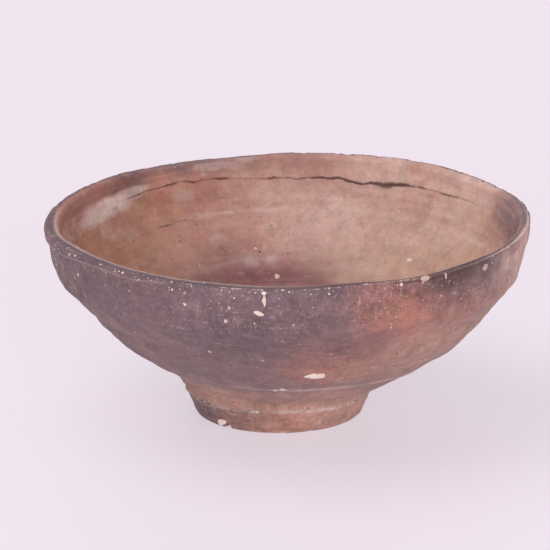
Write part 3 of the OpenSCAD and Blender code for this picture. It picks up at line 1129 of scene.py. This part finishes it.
class TEABOWL_OT_foot(bpy.types.Operator):
    """Build the turned foot ring"""

    bl_idname = "teabowl.foot"
    bl_label = "Foot Ring"

    def execute(self, context):
        scene = context.scene
        sizes, colours = scene.tea_bowl_sizes, scene.tea_bowl_colours
        wall = Wall(sizes)
        ceiling = point(sizes.ceiling_radius, FOOT_HEIGHT)
        stand_in, stand_out = point(sizes.hollow_radius, 0), point(sizes.foot_radius, 0)
        ledge = point(LEDGE_RADIUS, FOOT_HEIGHT)
        line = Outline(
            [ceiling]
            + rounded(ceiling, stand_in, stand_out, sizes.foot_edge)
            + rounded(stand_in, stand_out, ledge, sizes.foot_edge)
            + rounded(stand_out, ledge, ceiling, 0.4 * MM)
            + [ceiling + (0.8 * MM, 0)],
            soften=0.25 * MM,
        )
        angle = ring_angles(scene.tea_bowl_columns)
        girth = spread(0, float(line.girth[-1]), 0.42 * MM)[:, None] + 0 * angle
        angles = angle + 0 * girth
        radius, height, slope_r, slope_z = line.at(girth)
        proud = self.relief(sizes, radius, height, girth, angles)
        # The clay lies on the right of the line, so its surface rises to the left
        radius = radius + slope_z * proud
        height = np.maximum(height - slope_r * proud, 0.0)
        points = wall.lean(ring_points(radius, angles, height, FOOT_SHIFT), angles)
        attributes = self.marks(points, girth, angles, height, radius, colours)
        mesh = sweep_mesh("foot_ring_clay", points, attributes, 2)
        material = clay_material("foot clay", colours, line_spacing=0.0009, grit=0.2, drag=0.65)
        add_piece(context, "turned_foot", mesh, material, "foot_ring")
        return {"FINISHED"}

    def relief(self, sizes, radius, height, girth, angles):
        """Turned rings, lumps, a crumbling ledge, and a notch in the lower edge."""
        smooth = ring_points(radius, angles, height, FOOT_SHIFT)
        standing = 1 - ramp(height, 0.1 * MM, 0.6 * MM)
        covered = (height > FOOT_HEIGHT - 0.05 * MM) & (radius < LEDGE_RADIUS - sizes.neck_step - 0.4 * MM)
        proud = streaks(smooth, girth, 20 * MM, 1.3 * MM, 21) * 0.12 * MM
        proud += clouds(smooth, 6, 22) * 0.16 * MM + clouds(smooth, 1.6, 23) * 0.05 * MM
        crumbs = hump(height, FOOT_HEIGHT, 0.8 * MM) * clouds(smooth, 1.8, 24) * 0.4 * MM
        notch = at_side(angles, -128, 0.035) * (1 - ramp(height, 0.8 * MM, 2.2 * MM))
        outer = radius > sizes.hollow_radius + 3 * MM
        proud = (proud + crumbs) * (1 - 0.85 * standing) - 1.3 * MM * notch * outer
        return np.where(covered, 0, proud)

    def marks(self, points, girth, angles, height, radius, colours):
        warp = clouds(points, 9, 25) * 0.12
        tone = np.array(colours.brown) + 0 * points
        for degrees, spread_round, name, strength in (
            (-156, 0.68, "dusk", 0.8),
            (-85, 0.40, "red", 0.45),
            (-118, 0.3, "stain_and_shade", 0.25),
            (60, 0.9, "grey", 0.7),
        ):
            weight = strength * hump(from_side(angles, degrees) + warp, 0, spread_round)
            tone = blend(tone, getattr(colours, name), weight)
        # Pale crumbly clay along the ledge, partly a painted highlight on the edge that faces the light.
        ledge = hump(height, FOOT_HEIGHT + 0.2 * MM, 0.9 * MM) * (radius > 25 * MM)
        ledge = ledge * (0.65 + 0.35 * at_side(angles, -55, 0.6))
        crumbs_and_highlight = ledge * ramp(clouds(points, 1.6, 27), -0.8, 0.5)
        tone = blend(tone, colours.pale, crumbs_and_highlight)
        bottom = 0.5 * (1 - ramp(height, 0.0, 0.7 * MM)) * (radius > 18 * MM)
        patchy = 0.75 + 0.35 * clouds(points, 5, 26)
        return {
            "fire_and_painted_light": np.clip(tone, 0, 1),
            "girth": girth,
            "wear_and_highlight": np.clip(ledge * patchy + bottom, 0, 1),
            "stain_and_shade": 0 * girth,
            "sandy": 0.8 + 0 * girth,
            "tooled": 1.0 + 0 * girth,
        }


# Each stone: inside or not, angle round the bowl, height in mm, length round it and up it in mm,
# lean in degrees, and tone from white at 0 to the clay's tan at 1
STONES = [
    (False, -82.6, 26.9, 6.0, 3.4, 4, 0),
    (False, -93, 19.9, 2.0, 1.3, 0, 0.2),
    (False, -97, 50.6, 2.8, 1.3, -16, 0.1),
    (False, -95.5, 54.6, 1.2, 3.0, 0, 0.2),
    (False, -95.5, 57.0, 1.5, 1.1, 0, 0.1),
    (False, -105, 47.5, 1.0, 1.2, 30, 0.2),
    (False, -115, 51.5, 0.9, 1.1, 60, 0.3),
    (False, -36, 55.6, 2.2, 2.1, 0, 0.8),
    (False, -56, 57.6, 2.8, 2.0, 0, 0.6),
    (False, -62.5, 56.9, 1.1, 1.1, 0, 0.1),
    (False, -50, 57.2, 0.8, 1.7, 0, 0.5),
    (False, -96, 19.4, 1.4, 0.6, 10, 0.2),
    (True, 95, 27.0, 1.5, 2.0, 0, 0.3),
    (True, 47, 33.6, 1.8, 1.3, 20, 0.1),
]


class TEABOWL_OT_stones(bpy.types.Operator):
    """Set feldspar stones in the wall and the foot"""

    bl_idname = "teabowl.stones"
    bl_label = "Feldspar Stones"

    def execute(self, context):
        scene = context.scene
        self.wall = Wall(scene.tea_bowl_sizes)
        self.ball = self.unit_ball()
        self.points, self.faces, self.tones = [], [], []
        self.dice = dice = np.random.default_rng(12)
        for inside, degrees, height, long, tall, lean, tone in STONES:
            sizes = (long * MM, tall * MM)
            self.set_stone(inside, math.radians(degrees), height * MM, sizes, math.radians(lean), tone)
        self.set_foot_stone()
        for _ in range(scene.tea_bowl_grains):
            inside = dice.random() < 0.2
            height = (57.0 - 42 * dice.random() ** 1.6) * MM
            size = (0.4 + 0.6 * dice.random() ** 4) * MM
            angle, lean = dice.uniform(-math.pi, math.pi), dice.uniform(0, math.pi)
            sizes = (size, size * dice.uniform(0.4, 1))
            self.set_stone(inside, angle, height, sizes, lean, dice.uniform(0, 0.8))
        for _ in range(scene.tea_bowl_grains // 2):
            angle = math.radians(dice.uniform(-172, -70))
            height = HEIGHT - (0.3 + 3.2 * dice.random() ** 2) * MM
            size = (0.35 + 0.5 * dice.random() ** 3) * MM
            self.set_stone(False, angle, height, (size, 0.8 * size), dice.uniform(0, math.pi), 0.1)
        mesh = bpy.data.meshes.new("feldspar_set")
        mesh.from_pydata(np.concatenate(self.points).tolist(), [], np.concatenate(self.faces).tolist())
        tone = mesh.attributes.new("tone", "FLOAT", "POINT")
        tone.data.foreach_set("value", np.concatenate(self.tones).astype(np.float32))
        mesh.shade_smooth()
        mesh.set_sharp_from_angle(angle=STONE_CREASE)
        material = stone_material(scene.tea_bowl_colours)
        add_piece(context, "set_stones", mesh, material, "feldspar_stones")
        return {"FINISHED"}

    def unit_ball(self):
        form = bmesh.new()
        bmesh.ops.create_icosphere(form, subdivisions=3, radius=1.0)
        points = np.array([v.co[:] for v in form.verts])
        faces = np.array([[v.index for v in f.verts] for f in form.faces])
        form.free()
        return points, faces

    def set_foot_stone(self):
        """The stone at the foot ring's lower edge."""
        angle, radius, height = math.radians(-131.5), 25.0 * MM, 1.9 * MM
        along = np.array([-math.sin(angle), math.cos(angle), 0.25])
        out = np.array([math.cos(angle), math.sin(angle), -0.3])
        here = np.array([FOOT_SHIFT + radius * math.cos(angle), radius * math.sin(angle), height])
        self.bed(here, along, unit(out), (3.4 * MM, 2.0 * MM), 0.0)

    def set_stone(self, inside, angle, height, sizes, lean, tone):
        """One broken, flattened stone, bedded in the surface and turned to lie along it."""
        line = self.wall.line
        girth = line.inside_at(height) if inside else line.outside_at(height)
        reach = 0.4 * MM
        g = np.array([girth, girth + reach, girth])
        a = np.array([angle, angle, angle + reach / RIM_RADIUS])
        here, up, side = self.wall.surface(g, a)
        up, side = unit(up - here), unit(side - here)
        out = unit(np.cross(side, up))
        along = side * math.cos(lean) + up * math.sin(lean)
        self.bed(here, along, out, sizes, tone)

    def bed(self, here, along, out, sizes, tone):
        """Adds a stone at a point of the surface, long in one direction and flattened over the surface."""
        long, tall = sizes
        shape, faces = self.ball
        rough = 1 + 0.34 * layered_noise(shape * 1.2 + self.dice.uniform(0, 50, 3), 95, 2)
        shape = shape * rough[:, None]
        pointed = 1 - 0.55 * ramp(-shape[:, 0], 0.1, 1.2)
        shape = shape * np.stack([np.ones(len(shape)), pointed, np.clip(pointed, 0.6, 1)], axis=1)
        along = unit(along)
        across = np.cross(out, along)
        deep = min(long, tall) * 0.42
        flat = np.minimum(shape[:, 2:], 0.30)
        points = here + along * (shape[:, :1] * long / 2) + across * (shape[:, 1:2] * tall / 2)
        points = points + out * (flat * deep)
        self.tones.append(np.full(len(points), tone))
        self.faces.append(faces + sum(len(p) for p in self.points))
        self.points.append(points)


# Each softbox: name, place, width and height in metres, and power in watts. Both face the bowl.
SOFTBOXES = [
    ("softbox above", (-0.8, 0.1, 1.5), 1.8, 1.8, 17.0),
    ("softbox front", (0.4, -2.8, 0.75), 3.0, 1.1, 50.0),
]


class TEABOWL_OT_stage(bpy.types.Operator):
    """Set the floor, the lights and the camera"""

    bl_idname = "teabowl.stage"
    bl_label = "Stage"

    def execute(self, context):
        scene = context.scene
        stage = scene.tea_bowl_stage
        self.floor(scene, stage)
        self.camera(scene, stage)
        self.lights(scene, stage)
        return {"FINISHED"}

    def floor(self, scene, stage):
        """A sheet of paper that lies just under the bowl and curves up behind it. Sizes are in metres."""
        deep, tall, bend, half = 2.8, 2.6, 0.8, 3.6
        gap = 0.02 * MM
        quarter = np.linspace(0, math.pi / 2, 24)[1:]
        line = [(-half, 0.0), (deep, 0.0)]
        line += [(deep + bend * math.sin(t), bend - bend * math.cos(t)) for t in quarter]
        line.append((deep + bend, tall))
        verts = [(x, y, z - gap) for y, z in line for x in (-half, half)]
        faces = [(2 * k, 2 * k + 1, 2 * k + 3, 2 * k + 2) for k in range(len(line) - 1)]
        mesh = bpy.data.meshes.new("sweep")
        mesh.from_pydata(verts, [], faces)
        mesh.shade_smooth()
        mesh.materials.append(floor_material(stage))
        floor = bpy.data.objects.new("sweep", mesh)
        scene.collection.objects.link(floor)

    def camera(self, scene, stage):
        lens = bpy.data.cameras.new("camera")
        lens.lens = stage.focal
        lens.clip_end = 20
        camera = bpy.data.objects.new("camera", lens)
        aim = Vector((stage.aim_x, 0, stage.aim_z))
        camera.location = aim + stage.distance * Vector((0, -math.cos(stage.pitch), math.sin(stage.pitch)))
        camera.rotation_euler = (math.pi / 2 - stage.pitch, 0, 0)
        scene.collection.objects.link(camera)
        scene.camera = camera

    def lights(self, scene, stage):
        world = bpy.data.worlds.new("studio")
        world.use_nodes = True
        sky = world.node_tree.nodes["Background"]
        sky.inputs["Color"].default_value = (*stage.backdrop, 1)
        sky.inputs["Strength"].default_value = stage.sky
        scene.world = world
        scene.view_settings.view_transform = "Standard"
        for name, place, wide, tall, power in SOFTBOXES:
            lamp = bpy.data.lights.new(name, "AREA")
            lamp.shape = "RECTANGLE"
            lamp.size = wide
            lamp.size_y = tall
            lamp.energy = power
            lamp.color = (1.0, 0.98, 0.99)
            light = bpy.data.objects.new(name, lamp)
            light.location = place
            light.rotation_euler = (-Vector(place)).to_track_quat("-Z", "Y").to_euler()
            scene.collection.objects.link(light)


class TEABOWL_PT_panel(bpy.types.Panel):
    """Lists the bowl's pieces, sizes and colours"""

    bl_label = "Tea Bowl"
    bl_idname = "TEABOWL_PT_panel"
    bl_space_type = "VIEW_3D"
    bl_region_type = "UI"
    bl_category = "Tea Bowl"

    def draw(self, context):
        scene = context.scene
        for operator in OPERATORS:
            self.layout.operator(operator.bl_idname)
        self.layout.prop(scene, "tea_bowl_columns")
        self.layout.prop(scene, "tea_bowl_grains")
        for group in (scene.tea_bowl_sizes, scene.tea_bowl_colours, scene.tea_bowl_stage):
            box = self.layout.box()
            for name in group.__annotations__:
                box.prop(group, name)


GROUPS = (TeaBowlSizes, TeaBowlColours, TeaBowlStage)
OPERATORS = (
    TEABOWL_OT_base,
    TEABOWL_OT_shoulder,
    TEABOWL_OT_lip,
    TEABOWL_OT_foot,
    TEABOWL_OT_stones,
    TEABOWL_OT_stage,
)

COLUMNS = {"name": "Columns", "description": "Steps round the base; the coils have twice as many"}
GRAINS = {"name": "Grains", "description": "Small loose stones set in the wall"}
SCENE_PROPERTIES = (
    ("tea_bowl_sizes", PointerProperty, {"type": TeaBowlSizes}),
    ("tea_bowl_colours", PointerProperty, {"type": TeaBowlColours}),
    ("tea_bowl_stage", PointerProperty, {"type": TeaBowlStage}),
    ("tea_bowl_columns", IntProperty, {**COLUMNS, "default": 480, "min": 48}),
    ("tea_bowl_grains", IntProperty, {**GRAINS, "default": 110, "min": 0}),
)


def register():
    for cls in (*GROUPS, *OPERATORS, TEABOWL_PT_panel):
        bpy.utils.register_class(cls)
    for name, kind, settings in SCENE_PROPERTIES:
        setattr(bpy.types.Scene, name, kind(**settings))


def unregister():
    for name, _, _ in SCENE_PROPERTIES:
        delattr(bpy.types.Scene, name)
    for cls in reversed((*GROUPS, *OPERATORS, TEABOWL_PT_panel)):
        bpy.utils.unregister_class(cls)


def main():
    register()
    build_groups()
    for step in (
        bpy.ops.teabowl.base,
        bpy.ops.teabowl.shoulder,
        bpy.ops.teabowl.lip,
        bpy.ops.teabowl.foot,
        bpy.ops.teabowl.stones,
        bpy.ops.teabowl.stage,
    ):
        step()


if __name__ == "__main__":
    main()
